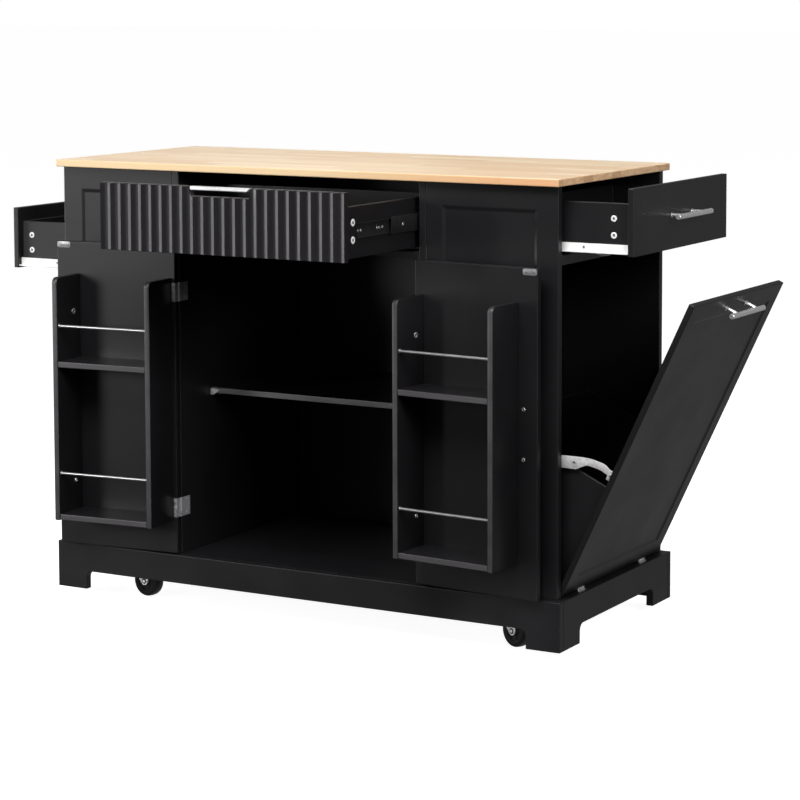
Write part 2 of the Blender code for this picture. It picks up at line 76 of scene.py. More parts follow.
RACK_OFFSET = 0.008
RACK_WIDTH = 0.229
RACK_DEPTH = 0.090
RACK_BOTTOM = 0.184
RACK_TOP = 0.687
RACK_RAILS = (("lower", 0.282), ("upper", 0.587))
RACK_ROUND = 0.012
RACK_FASTENERS = ((0.611, 0.0060), (0.258, 0.0042))  # height, radius
RAIL_RADIUS = 0.0027

HANDLE_LENGTH = 0.160
HANDLE_SPACING = 0.096
HANDLE_RADIUS = 0.0052
POST_RADIUS = 0.0042
HANDLE_REACH = 0.027

FLUTES = 23
FLUTE_DEPTH = 0.0043
CENTRE_FRONT_Z = (0.770, 0.901)
CENTRE_TRAY_Z = (0.7745, 0.872)
CENTRE_SLIDE_Z = (0.808, 0.843)
SLIDE_SPACE = 0.0127
CENTRE_GAPS = (0.0065, 0.0035)  # beside the closed fluted front, left and right
CENTRE_SCREWS = (0.047, 0.057, 0.116, 0.125, 0.137, 0.250, 0.340)  # behind the fluted front
CENTRE_RAIL_SCREWS = (0.040, 0.130, 0.300)  # behind the cabinet's face
CENTRE_CAM = 0.031  # behind the fluted front
CENTRE_CAM_DROPS = (0.0303, 0.0630)  # below the side board's top
SCOOP = (-0.0045, 0.073, 0.019)  # middle, half width, depth
SCOOP_SLANT = 0.009

END_FRONT_HEIGHT = 0.128
END_FRONT_Z = {"left": 0.683, "right": 0.777}
END_TRAY_Z = (0.0215, 0.0990)
END_TRAY_LENGTH = 0.240
END_INNER = (FRONT + BOARD, BACK - BOARD)
END_BOX_Y = (END_INNER[0] + SLIDE_SPACE + 0.001, END_INNER[1] - SLIDE_SPACE - 0.001)
END_SCREWS = (0.095, 0.150, 0.205)  # behind the drawer's front
SLIDE_DROP = 0.0170  # how far the end drawers' slides hang below their boxes
END_RAIL = (0.022, 0.262)  # from the cabinet's end, as are its screws
END_RAIL_SCREWS = (0.040, 0.140, 0.240)
END_CAMS = {"left": 0.027, "right": 0.034}  # behind the drawer's front
END_CAM_DROPS = (0.0290, 0.0606)  # below the side board's top
CAM_HEAD = {"height": 0.0010, "sunk": 0.25, "spin": 0.5}

BIN_AXIS = (0.5795, 0.1165)
BIN_DOOR_TOP = 0.752
STAY_RADIUS = 0.262
CENTRE_SHELF = (-0.126, 0.433)  # front edge, underside
LEFT_SHELF_UNDER = 0.388

WHEEL_RADIUS = 0.033
WHEEL_WIDTH = 0.024
CASTER_TRAIL = 0.028
CASTER_TOP = PLINTH_TOP - BOARD - GAP

X, Y, Z = Vector((1, 0, 0)), Vector((0, 1, 0)), Vector((0, 0, 1))
HINGED = (("left", OPENING_LEFT, 1), ("right", OPENING_RIGHT, -1))  # sign: from the hinge inwards
ENDS = (("left", -1), ("right", 1))  # sign: outwards along X


# ---- from closed to rest
def cabinet_shift():
    """The cabinet's middle, from the worktop that lies centred on it."""
    low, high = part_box("worktop")
    middle = (low + high) / 2
    return Matrix.Translation((middle.x, middle.y - MIDDLE_Y, 0))


def opening(joint):
    """The motion from closed, at one end of the joint's range, to the rest pose."""
    if joint.get("continuous"):
        return Matrix.Identity(4)
    axis = Vector(joint["axis"])
    if joint["type"] == "slide":
        return Matrix.Translation(-joint["range_m"][0] * axis)
    closed = max(joint["range_deg"], key=abs)
    pivot = Vector(joint["pos_m"])
    turn = Matrix.Rotation(math.radians(-closed), 4, axis)
    return Matrix.Translation(pivot) @ turn @ Matrix.Translation(-pivot)


SHIFT = cabinet_shift()
CLOSED_TO_REST = {joint["child"]: opening(joint) @ SHIFT for joint in frame["joints"]}
CLOSED_TO_REST["cabinet"] = SHIFT


# ---- materials
class Finish:
    """A node-based material under construction."""

    def __init__(self, name, **values):
        self.material = bpy.data.materials.new(name)
        self.material.use_nodes = True
        self.tree = self.material.node_tree
        self.shader = self.tree.nodes["Principled BSDF"]
        self.set(self.shader, **values)
        self.where = self.node("TexCoord").outputs["Object"]

    def node(self, kind, **values):
        made = self.tree.nodes.new("ShaderNode" + kind)
        self.set(made, **values)
        return made

    @staticmethod
    def set(node, **values):
        enabled = [socket for socket in node.inputs if socket.enabled]
        sockets = {socket.name.lower().replace(" ", "_"): socket for socket in enabled}
        for key, value in values.items():
            sockets[key].default_value = value

    def link(self, output, node, socket):
        self.tree.links.new(output, node.inputs[socket])

    def noise(self, scale, detail=2.0, roughness=0.5, stretch=None, where=None, distortion=0.0):
        where = where or self.where
        if stretch:
            mapping = self.node("Mapping", scale=stretch)
            self.link(where, mapping, "Vector")
            where = mapping.outputs["Vector"]
        node = self.node("TexNoise", scale=scale, detail=detail, roughness=roughness, distortion=distortion)
        self.link(where, node, "Vector")
        return node.outputs["Fac"]

    def random(self, value):
        """One even random number for each value."""
        node = self.node("TexWhiteNoise")
        node.noise_dimensions = "1D"
        self.link(value, node, "W")
        return node.outputs["Value"]

    def split(self, vector):
        node = self.node("SeparateXYZ")
        self.link(vector, node, "Vector")
        return [node.outputs[index] for index in range(3)]

    def range(self, value, low, high, start=0.3, end=0.7):
        """value from start..end to low..high."""
        node = self.node("MapRange", from_min=start, from_max=end, to_min=low, to_max=high)
        self.link(value, node, "Value")
        return node.outputs["Result"]

    def math(self, operation, first, second=None):
        node = self.node("Math")
        node.operation = operation
        for index, value in enumerate((first, second)):
            if isinstance(value, (int, float)):
                node.inputs[index].default_value = value
            elif value is not None:
                self.tree.links.new(value, node.inputs[index])
        return node.outputs[0]

    def mix(self, factor, first, second):
        node = self.node("Mix")
        node.data_type = "RGBA"
        for name, value in (("Factor", factor), ("A", first), ("B", second)):
            socket = next(s for s in node.inputs if s.name == name and s.enabled)
            if isinstance(value, (tuple, float)):
                socket.default_value = (*value, 1.0) if isinstance(value, tuple) else value
            else:
                self.tree.links.new(value, socket)
        return next(s for s in node.outputs if s.enabled)

    def tint(self, colour, value, limits, shade):
        """colour, turned towards shade as value runs through limits (low, high, start, end)."""
        return self.mix(self.range(value, *limits), colour, shade)

    def bump(self, *layers, eased=0.0):
        """Height layers (value, strength, distance), one over the other, on eased edges."""
        last = None
        if eased:
            bevel = self.node("Bevel", radius=eased)
            bevel.samples = 6
            last = bevel.outputs["Normal"]
        for value, strength, distance in layers:
            node = self.node("Bump", strength=strength, distance=distance)
            self.link(value, node, "Height")
            if last:
                self.link(last, node, "Normal")
            last = node.outputs["Normal"]
        self.link(last, self.shader, "Normal")


def painted_board(name, dark, light, roughness, edges=None, eased=0.0026):
    """Satin lacquer over board: orange peel, slow drift of gloss and a little of tone.

    Faces turned along ±Y, the narrow front and back edges, are tinted with edges: a painted highlight.
    """
    made = Finish(name, specular_ior_level=0.5)
    tone = made.range(made.noise(3.2, 3.0), 0.0, 1.0)
    colour = made.mix(tone, dark, light)
    if edges:
        # Painted highlight: faces along ±Y, in uneven patches, turn towards the colour edges.
        normal = made.split(made.node("TexCoord").outputs["Normal"])
        facing = made.range(made.math("ABSOLUTE", normal[1]), 0.0, 1.0, 0.55, 0.95)
        highlight_drift = made.range(made.noise(30.0, 3.0, stretch=(0.2, 1.0, 1.0)), 0.70, 1.0)
        colour = made.mix(made.math("MULTIPLY", facing, highlight_drift), colour, edges)
    made.link(colour, made.shader, "Base Color")
    gloss = made.range(made.noise(7.0, 4.0, 0.6), roughness - 0.035, roughness + 0.045)
    made.link(gloss, made.shader, "Roughness")
    peel = made.noise(620.0, 2.0)
    waves = made.noise(46.0, 2.0)
    made.bump((waves, 0.05, 0.0010), (peel, 0.10, 0.00025), eased=eased)
    return made.material


def rubberwood(name):
    """Butcher block: glued staves along X with finger joints, and end grain at both ends."""
    made = Finish(name, specular_ior_level=0.5, coat_weight=0.12, coat_roughness=0.30)
    stave, length, finger, comb = 0.0425, 0.31, 0.0042, 0.0050
    x, y, _ = made.split(made.where)
    row_place = made.math("DIVIDE", made.math("ADD", y, 1.0), stave)
    row = made.math("FLOOR", row_place)
    shift = made.math("MULTIPLY", made.random(row), length * 3.7)
    zigzag = made.math("PINGPONG", made.math("ADD", y, 1.0), finger)
    zigzag = made.math("MULTIPLY", zigzag, comb / finger)
    along = made.math("ADD", made.math("ADD", made.math("ADD", x, 3.0), shift), zigzag)
    piece_place = made.math("DIVIDE", along, length)
    piece = made.math("FLOOR", piece_place)
    seed = made.math("ADD", made.math("MULTIPLY", row, 17.31), made.math("MULTIPLY", piece, 5.77))
    tone = made.random(seed)

    ramp = made.node("ValToRGB")
    made.link(tone, ramp, "Fac")
    shades = ramp.color_ramp.elements
    shades[0].color = (0.72, 0.520, 0.335, 1)
    shades[1].color = (0.76, 0.575, 0.375, 1)
    shades.new(0.35).color = (0.79, 0.620, 0.425, 1)
    shades.new(0.7).color = (0.84, 0.695, 0.500, 1)

    # Grain runs along each stave and starts afresh in every piece of wood.
    offset = made.node("CombineXYZ")
    made.link(made.math("MULTIPLY", tone, 9.0), offset, "X")
    made.link(made.math("MULTIPLY", seed, 0.37), offset, "Y")
    shifted = made.node("VectorMath")
    shifted.operation = "ADD"
    made.link(made.where, shifted, 0)
    made.link(offset.outputs[0], shifted, 1)

    def grain(scale, stretch, detail):
        return made.noise(scale, detail, 0.62, stretch, shifted.outputs[0], 0.5)

    bands = grain(9.0, (0.35, 9.0, 9.0), 5.0)
    fibres = grain(60.0, (0.30, 12.0, 12.0), 3.0)
    pores = grain(150.0, (0.12, 5.0, 5.0), 2.0)
    colour = made.tint(ramp.outputs["Color"], bands, (0.0, 0.55, 0.42, 0.74), (0.62, 0.385, 0.205))
    colour = made.tint(colour, fibres, (0.0, 0.30, 0.45, 0.80), (0.47, 0.25, 0.10))
    colour = made.tint(colour, pores, (0.0, 0.55, 0.66, 0.78), (0.30, 0.155, 0.065))

    def line(place, width):
        """1 on a seam where place crosses a whole number."""
        part = made.math("FRACT", place)
        edge = made.math("MINIMUM", part, made.math("SUBTRACT", 1.0, part))
        return made.range(edge, 1.0, 0.0, 0.0, width)

    seams = made.math("MAXIMUM", line(row_place, 0.012), line(piece_place, 0.0022))
    colour = made.mix(made.math("MULTIPLY", seams, 0.62), colour, (0.33, 0.165, 0.065))

    # The long edges show the warmer side of each stave; end grain is darker and dotted.
    normal = made.split(made.node("NewGeometry").outputs["Normal"])
    side = made.range(made.math("ABSOLUTE", normal[1]), 0.0, 1.0, 0.4, 0.9)
    warm = made.tint((0.74, 0.54, 0.30), x, (0.0, 1.0, 0.0, 0.45), (0.72, 0.35, 0.15))
    colour = made.mix(made.math("MULTIPLY", side, 0.78), colour, warm)
    end = made.range(made.math("ABSOLUTE", normal[0]), 0.0, 1.0, 0.75, 0.95)
    dots = made.noise(900.0, 2.0)
    rings = made.noise(55.0, 3.0, stretch=(1.0, 1.0, 3.5))
    rough_end = made.tint((0.82, 0.56, 0.34), rings, (0.0, 1.0, 0.35, 0.65), (0.66, 0.40, 0.215))
    rough_end = made.tint(rough_end, dots, (0.0, 0.35, 0.5, 0.72), (0.36, 0.19, 0.09))
    rough_end = made.tint(rough_end, tone, (0.0, 0.38, 0.66, 0.70), (0.42, 0.20, 0.09))
    made.link(made.mix(end, colour, rough_end), made.shader, "Base Color")
    made.link(made.range(fibres, 0.34, 0.46), made.shader, "Roughness")
    raised = made.math("SUBTRACT", 1.0, seams)
    made.bump((raised, 0.35, 0.0002), (fibres, 0.12, 0.00030), (pores, 0.15, 0.00015))
    return made.material


def brushed_steel(name, along, base=(0.90, 0.90, 0.90), roughness=0.25, metallic=0.80):
    """Steel with fine scratches along one axis of the piece, which scatter part of the light."""
    made = Finish(name, metallic=metallic)
    stretch = tuple(0.02 if component else 1.0 for component in along)
    scratches = made.noise(1500.0, 3.0, 0.6, stretch)
    cloud = made.noise(22.0, 2.0)
    dark = tuple(0.82 * part for part in base)
    made.link(made.tint(dark, scratches, (0.0, 1.0), base), made.shader, "Base Color")
    haze = made.math("ADD", made.range(scratches, 0.0, 0.10), made.range(cloud, roughness - 0.05, roughness))
    made.link(haze, made.shader, "Roughness")
    made.bump((scratches, 0.10, 0.00010))
    return made.material


def clouded(name, base, metallic, dimmest, cloud, haze, gloss, grain):
    """Patches of tone and of gloss over a fine grain; each noise is given by its scale first."""
    made = Finish(name, metallic=metallic)
    dark = tuple(dimmest * part for part in base)
    made.link(made.tint(dark, made.noise(*cloud), (0.0, 1.0), base), made.shader, "Base Color")
    made.link(made.range(made.noise(haze, 3.0), *gloss), made.shader, "Roughness")
    scale, strength, distance = grain
    made.bump((made.noise(scale, 2.0), strength, distance))
    return made.material


def zinc(name, base=(0.66, 0.67, 0.69), roughness=0.33, metallic=0.85):
    """Bright plated steel: cloudy patches, and faint press marks."""
    gloss = (roughness - 0.06, roughness + 0.10)
    return clouded(name, base, metallic, 0.72, (130.0, 4.0, 0.65), 60.0, gloss, (700.0, 0.12, 0.00010))


def coated(name, base, roughness, metallic=0.0):
    """Powder or epoxy coat on steel, and moulded plastic: a fine even grain."""
    gloss = (roughness - 0.04, roughness + 0.06)
    return clouded(name, base, metallic, 0.86, (35.0, 3.0), 90.0, gloss, (1100.0, 0.14, 0.00015))


PAINT = ((0.0060, 0.0052, 0.0062), (0.0080, 0.0071, 0.0083))  # darkest, lightest
FLUTED_PAINT = ((0.0080, 0.0066, 0.0086), (0.0110, 0.0092, 0.0117))
BLACK = painted_board("satin_black_board", *PAINT, 0.40)
# Painted highlight on the ±Y edges: pale on the racks' boards, brighter on the middle shelf.
EDGE_HIGHLIT = painted_board("satin_black_board_pale_edge", *PAINT, 0.38, (0.070, 0.066, 0.070))
SHELF_EDGE_HIGHLIT = painted_board("satin_black_shelf", *PAINT, 0.36, (0.240, 0.230, 0.240))
CHARCOAL = painted_board("satin_charcoal_front", *FLUTED_PAINT, 0.34, eased=0.0007)
WOOD = rubberwood("oiled_rubberwood")
STEEL_Y = brushed_steel("brushed_steel_y", (0, 1, 0))
STEEL_Z = brushed_steel("brushed_steel_z", (0, 0, 1))
RAIL_STEEL = brushed_steel("brushed_rail_steel", (1, 0, 0), (0.62, 0.62, 0.63), 0.30, 0.85)
STRIKE = zinc("dull_strike_steel", (0.40, 0.40, 0.41), 0.40, 0.6)
HINGE = zinc("hinge_steel", (0.70, 0.70, 0.72), 0.32, 0.70)
BRIGHT = brushed_steel("bright_pull_steel", (1, 0, 0), (0.95, 0.95, 0.95), 0.38)
ZINC = zinc("zinc_plated_steel")
NICKEL = zinc("nickel_plated_steel", (0.70, 0.69, 0.68), 0.28, 0.8)
FORK_STEEL = zinc("white_plated_steel", (0.92, 0.92, 0.93), 0.36, 0.10)
PALE_STEEL = zinc("pale_pressed_steel", (0.78, 0.77, 0.78), 0.42, 0.35)
WHITE = coated("white_epoxy_steel", (0.86, 0.86, 0.84), 0.32)
SLIDE_BLACK = coated("black_slide_steel", (0.030, 0.030, 0.032), 0.30, 0.6)
TYRE = coated("moulded_black_wheel", (0.0055, 0.0055, 0.0060), 0.32)
# Painted shade in the cross recesses of fastener heads; also the casters' dark washers.
RECESS_SHADE_AND_WASHER_BLACK = coated("dark_recess", (0.010, 0.010, 0.010), 0.60)

CAD_FINISH = {"rubberwood": WOOD, "black_painted_board": BLACK}
EDGE_HIGHLIT_NODES = [f"{side}_rack_{level}_shelf" for side in ("left", "right") for level in ("bottom", "middle")]
# Rack shelves take the painted edge highlight, the middle shelf a brighter one.
for part in frame["record"]["subparts"]:
    finish = EDGE_HIGHLIT if part["node"] in EDGE_HIGHLIT_NODES else CAD_FINISH.get(part["material_slot"])
    if part["node"] == "centre_shelf":
        finish = SHELF_EDGE_HIGHLIT
    if finish:
        for held in frame["nodes"][part["node"]].material_slots:
            held.material = finish


# ---- mesh helpers
def block(low, high, edge=0.0, segments=2, bm=None):
    """A box between two corners with rounded edges."""
    part = bmesh.new()
    low, high = Vector(low), Vector(high)
    place = Matrix.Translation((low + high) / 2) @ Matrix.Diagonal((*(high - low), 1.0))
    bmesh.ops.create_cube(part, size=1.0, matrix=place)
    if edge:
        bmesh.ops.bevel(part, geom=part.edges[:], offset=edge, segments=segments, affect="EDGES", profile=0.5)
    return joined(bm, part)


def joined(bm, part, matrix=None, finish=0):
    """part, turned by matrix and given a material index, added to bm."""
    if matrix is not None:
        bmesh.ops.transform(part, matrix=matrix, verts=part.verts)
    if finish:
        for face in part.faces:
            face.material_index = finish
    if bm is None:
        return part
    bmesh.ops.recalc_face_normals(part, faces=part.faces)
    mesh = bpy.data.meshes.new("part")
    part.to_mesh(mesh)
    part.free()
    bm.from_mesh(mesh)
    bpy.data.meshes.remove(mesh)
    return bm


def arc(centre, radius, start, end, steps):
    """Points along an arc, in degrees."""
    angles = [math.radians(start + (end - start) * step / steps) for step in range(steps + 1)]
    return [(centre[0] + radius * math.cos(a), centre[1] + radius * math.sin(a)) for a in angles]


def rectangle(u0, v0, u1, v1):
    """The outline of a flat bar, for prism."""
    return [(u0, v0), (u0, v1), (u1, v1), (u1, v0)]


def prism(outline, axis, start, end, edge=0.0, bm=None):
    """An outline extruded along an axis: for X the points are (y, z), for Y (x, z), for Z (x, y)."""

    def place(point, along):
        u, v = point
        return {"X": (along, u, v), "Y": (u, along, v), "Z": (u, v, along)}[axis]

    part = bmesh.new()
    near, far = ([part.verts.new(place(point, along)) for point in outline] for along in (start, end))
    part.faces.new(near)
    part.faces.new(far[::-1])
    for index in range(len(outline)):
        part.faces.new((near[index], near[index - 1], far[index - 1], far[index]))
    bmesh.ops.recalc_face_normals(part, faces=part.faces)
    if edge:
        part.normal_update()
        sharp = [e for e in part.edges if e.calc_face_angle(0) > math.radians(40)]
        bmesh.ops.bevel(part, geom=sharp, offset=edge, segments=2, affect="EDGES", profile=0.5)
    return joined(bm, part)


def lathe(profile, segments=32):
    """A solid turned about Z from (radius, z) points; ends of radius 0 close it."""
    bm = bmesh.new()
    rings = []
    for radius, z in profile:
        if radius == 0:
            rings.append([bm.verts.new((0, 0, z))])
            continue
        turns = [2 * math.pi * step / segments for step in range(segments)]
        rings.append([bm.verts.new((radius * math.cos(a), radius * math.sin(a), z)) for a in turns])
    for here, there in zip(rings, rings[1:] + ([] if len(rings[0]) == 1 else rings[:1])):
        for step in range(segments):
            after = (step + 1) % segments
            if len(here) == 1:
                bm.faces.new((here[0], there[step], there[after]))
            elif len(there) == 1:
                bm.faces.new((here[after], here[step], there[0]))
            else:
                bm.faces.new((here[after], here[step], there[step], there[after]))
    return bm


def button(*points):
    """A lathe profile closed at both ends: at z = 0, and at the last point's height."""
    return [(0, 0), *points, (0, points[-1][1])]


def aimed(point, direction, spin=0.0):
    """The matrix that puts Z along a direction at a point."""
    turn = Z.rotation_difference(Vector(direction)).to_matrix().to_4x4()
    return Matrix.Translation(point) @ turn @ Matrix.Rotation(spin, 4, "Z")


def bar(start, end, radius, chamfer=0.0005, segments=28):
    """A round bar with chamfered ends."""
    start, end = Vector(start), Vector(end)
    length = (end - start).length
    flat = radius - chamfer
    profile = button((flat, 0), (radius, chamfer), (radius, length - chamfer), (flat, length))
    return joined(None, lathe(profile, segments), aimed(start, end - start))


def cross_head(bm, point, direction, radius, height, sunk=0.35, spin=0.3, finish=0, dark=1):
    """A round fastener head; its cross recess is a flat near-black cross, painted shade."""
    floor = height * (1 - sunk)
    dish = [(0, -0.0004), (radius, -0.0004), (radius, height * 0.55), (radius * 0.86, height)]
    dish += [(radius * 0.52, height), (radius * 0.46, floor), (0, floor)]
    place = aimed(point, direction, spin)
    joined(bm, lathe(dish, 24), place, finish)
    # The recess isn't cut: a thin near-black cross on the dish's floor is painted shade.
    arm, width, top = radius * 0.62, radius * 0.15, floor + 0.00012
    for low, high in (((-arm, -width, 0), (arm, width, top)), ((-width, -arm, 0), (width, arm, top))):
        joined(bm, block(low, high), place, dark)


def piece(name, bm, body, slot, *finishes, matrix=None, replaced=()):
    """Turns a bmesh in closed coordinates into a piece that rides its body."""
    bmesh.ops.recalc_face_normals(bm, faces=bm.faces)
    mesh = bpy.data.meshes.new(name)
    bm.to_mesh(mesh)
    bm.free()
    for finish in finishes:
        mesh.materials.append(finish)
    mesh.shade_smooth()
    mesh.set_sharp_from_angle(angle=math.radians(32))
    made = bpy.data.objects.new(name, mesh)
    bpy.context.scene.collection.objects.link(made)
    made.matrix_world = CLOSED_TO_REST[body] if matrix is None else matrix
    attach(made, body)
    if replaced:
        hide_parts(*replaced)


# ---- racks
def rack_faces(hinge_x, sign):
    """Where the inner faces of a rack's sides stand: near the hinge, then far from it."""
    reaches = (RACK_OFFSET + THIN, RACK_OFFSET + RACK_WIDTH - THIN)
    return [hinge_x + sign * (DOOR_EDGE_GAP + reach) for reach in reaches]


def rack_sides(side, hinge_x, sign):
    """Side boards of a door's rack, with a well rounded upper corner."""
    edge_x = hinge_x + sign * DOOR_EDGE_GAP
    start, end = DOOR_INNER + GAP, DOOR_INNER + RACK_DEPTH
    corner = arc((end - RACK_ROUND, RACK_TOP - RACK_ROUND), RACK_ROUND, 0, 90, 10)
    outline = [(start, RACK_BOTTOM), (end, RACK_BOTTOM), *corner, (start, RACK_TOP)]
    for place, near in (("hinge", RACK_OFFSET), ("free", RACK_OFFSET + RACK_WIDTH - THIN)):
        left, right = sorted((edge_x + sign * near, edge_x + sign * (near + THIN)))
        node = f"{side}_rack_{place}_side"
        bm = prism(outline, "X", left, right, edge=0.0022)
        # The board's front and back edges carry the finish's painted highlight.
        piece(node + "_board", bm, side + "_door", "black_painted_board", EDGE_HIGHLIT, replaced=[node])


def rack_rails(side, hinge_x, sign):
    """Two thin rails across the front of a rack, each with a cup at both ends."""
    left, right = sorted(rack_faces(hinge_x, sign))
    y = DOOR_INNER + RACK_DEPTH - 0.008
    cup = button((0.0042, 0), (0.0042, 0.0010), (0.0037, 0.0016), (0.0031, 0.0016))
    for place, height in RACK_RAILS:
        bm = bar((left + GAP, y, height), (right - GAP, y, height), RAIL_RADIUS)
        for x, direction in ((left + GAP, X), (right - GAP, -X)):
            joined(bm, lathe(cup, 24), aimed((x, y, height), direction))
        node = f"{side}_rack_{place}_rail"
        piece(node + "_bar", bm, side + "_door", "brushed_steel", RAIL_STEEL, replaced=[node])


def rack_fasteners(side, hinge_x, sign):
    """Fastener heads on the inner faces of the rack's sides, and the handle's screws."""
    bm = bmesh.new()
    for x, direction in zip(rack_faces(hinge_x, sign), (sign * X, -sign * X)):
        for height, radius in RACK_FASTENERS:
            cross_head(bm, (x, DOOR_INNER + 0.027, height), direction, radius, 0.0012, sunk=0.5)
    x, z, _ = DOOR_HANDLE
    for step in (-0.5, 0.5):
        where = (hinge_x + sign * x, DOOR_INNER, z + step * HANDLE_SPACING)
        cross_head(bm, where, Y, 0.0040, 0.0016)
    piece(f"{side}_door_fasteners", bm, side + "_door", "zinc_plated_steel", NICKEL, RECESS_SHADE_AND_WASHER_BLACK)


# ---- fluted drawer
def scoop_top(x):
    """Top edge of the fluted front: straight, with the finger scoop cut into it."""
    middle, half, depth = SCOOP
    high = CENTRE_FRONT_Z[1]
    away = abs(x - middle)
    if away >= half:
        return high
    floor_half, shoulder = half - SCOOP_SLANT, 0.003
    if away <= floor_half:
        return high - depth
    share = (away - floor_half) / (half - floor_half)
    return high - depth + (depth - shoulder) * share**1.6


def fluted_front():
    """The drawer front as a row of upright sections, each with its own place on a flute."""
    left, right = OPENING_LEFT + CENTRE_GAPS[0], OPENING_RIGHT - CENTRE_GAPS[1]
    bottom = CENTRE_FRONT_Z[0]
    back = FRONT + BOARD
    pitch = (right - left) / FLUTES
    steps = 14
    middle, half, _ = SCOOP
    places = [left + pitch * step / steps for step in range(FLUTES * steps + 1)]
    for cheek in (middle - half, middle + half):
        places += [cheek - 0.00006, cheek + 0.00006]
    for step in range(1, 6):
        inset = half - SCOOP_SLANT * step / 5
        places += [middle - inset, middle + inset]
    ease = 0.0009
    bm = bmesh.new()
    columns = []
    for x in sorted(places):
        share = ((x - left) / pitch) % 1.0
        if min(share, 1 - share) < 1e-4:
            share = 0.0
        face = FRONT + FLUTE_DEPTH * math.sin(math.pi * share)
        top = scoop_top(x)
        over = [(face, bottom + ease), (face, top - ease), (face + ease, top), (back - ease, top)]
        under = [(back, top - ease), (back, bottom + ease), (back - ease, bottom), (face + ease, bottom)]
        columns.append([bm.verts.new((x, y, z)) for y, z in over + under])
    bm.faces.new(columns[0])
    bm.faces.new(columns[-1][::-1])
    for here, there in zip(columns, columns[1:]):
        for index in range(len(here)):
            bm.faces.new((here[index - 1], here[index], there[index], there[index - 1]))
    replaced = ["centre_drawer_front"]
    piece("fluted_drawer_front", bm, "centre_drawer", "charcoal_fluted_board", CHARCOAL, replaced=replaced)


def drawer_pull():
    """The folded steel strip across the scoop: a flange forward, a web and a turned-up lip."""
    middle, half, _ = SCOOP
    back = FRONT + BOARD
    high = CENTRE_FRONT_Z[1] - 0.0004
    wall, drop, deep = 0.0016, 0.0078, 0.0105
    rear, fore, foot = back - 0.0004, back - deep, high - drop
    outline = [(rear, high), (fore, high), (fore, foot + 0.0015), (fore + 0.0012, foot)]
    outline += [(fore + 0.0012 + wall, foot + 0.0006), (fore + wall, foot + 0.0024)]
    outline += [(fore + wall, high - wall), (rear - wall, high - wall)]
    outline += [(rear - wall, foot + 0.001), (rear, foot + 0.001)]
    right = middle + half - 0.0058
    bm = prism(outline, "X", middle - half + 0.0040, right, edge=0.0003)
    for vert in bm.verts:
        if vert.co.x > right - 0.001:
            vert.co.x -= 0.010 * (high - vert.co.z) / drop
    piece("drawer_pull_strip", bm, "centre_drawer", "brushed_steel", BRIGHT, replaced=["centre_drawer_pull"])


# ---- handles
def bar_handle(node, face, along, outward, reach, body, finish):
    """A T-bar on two posts with small collars."""
    face, along, outward = Vector(face), Vector(along), Vector(outward)
    centre = face + outward * (reach + GAP)
    half = along * HANDLE_LENGTH / 2
    bm = bar(centre - half, centre + half, HANDLE_RADIUS, 0.0006, 36)
    for side in (-0.5, 0.5):
        foot = face + outward * GAP + along * side * HANDLE_SPACING
        collar = ((POST_RADIUS + 0.0012, 0), (POST_RADIUS + 0.0012, 0.0010), (POST_RADIUS + 0.0006, 0.0016))
        post = button(*collar, (POST_RADIUS, 0.0018), (POST_RADIUS, reach))
        joined(bm, lathe(post, 28), aimed(foot, outward))
    piece(node + "_bar", bm, body, "brushed_steel", finish, replaced=[node])


def handles():
    """The bars on both end drawers, the bin's door and the two doors."""
    for side, sign in ENDS:
        height = END_FRONT_Z[side] + END_FRONT_HEIGHT / 2 + 0.0015
        face = (sign * HALF_WIDTH, MIDDLE_Y, height)
        node = side + "_drawer_handle"
        bar_handle(node, face, Y, sign * X, HANDLE_REACH, side + "_drawer", STEEL_Y)
    face = (HALF_WIDTH, MIDDLE_Y, BIN_DOOR_TOP - 0.024)
    bar_handle("bin_door_handle", face, Y, X, HANDLE_REACH, "bin", STEEL_Y)
    x, z, reach = DOOR_HANDLE
    for side, hinge_x, sign in HINGED:
        face = (hinge_x + sign * x, FRONT, z)
        bar_handle(side + "_door_handle", face, Z, -Y, reach, side + "_door", STEEL_Z)


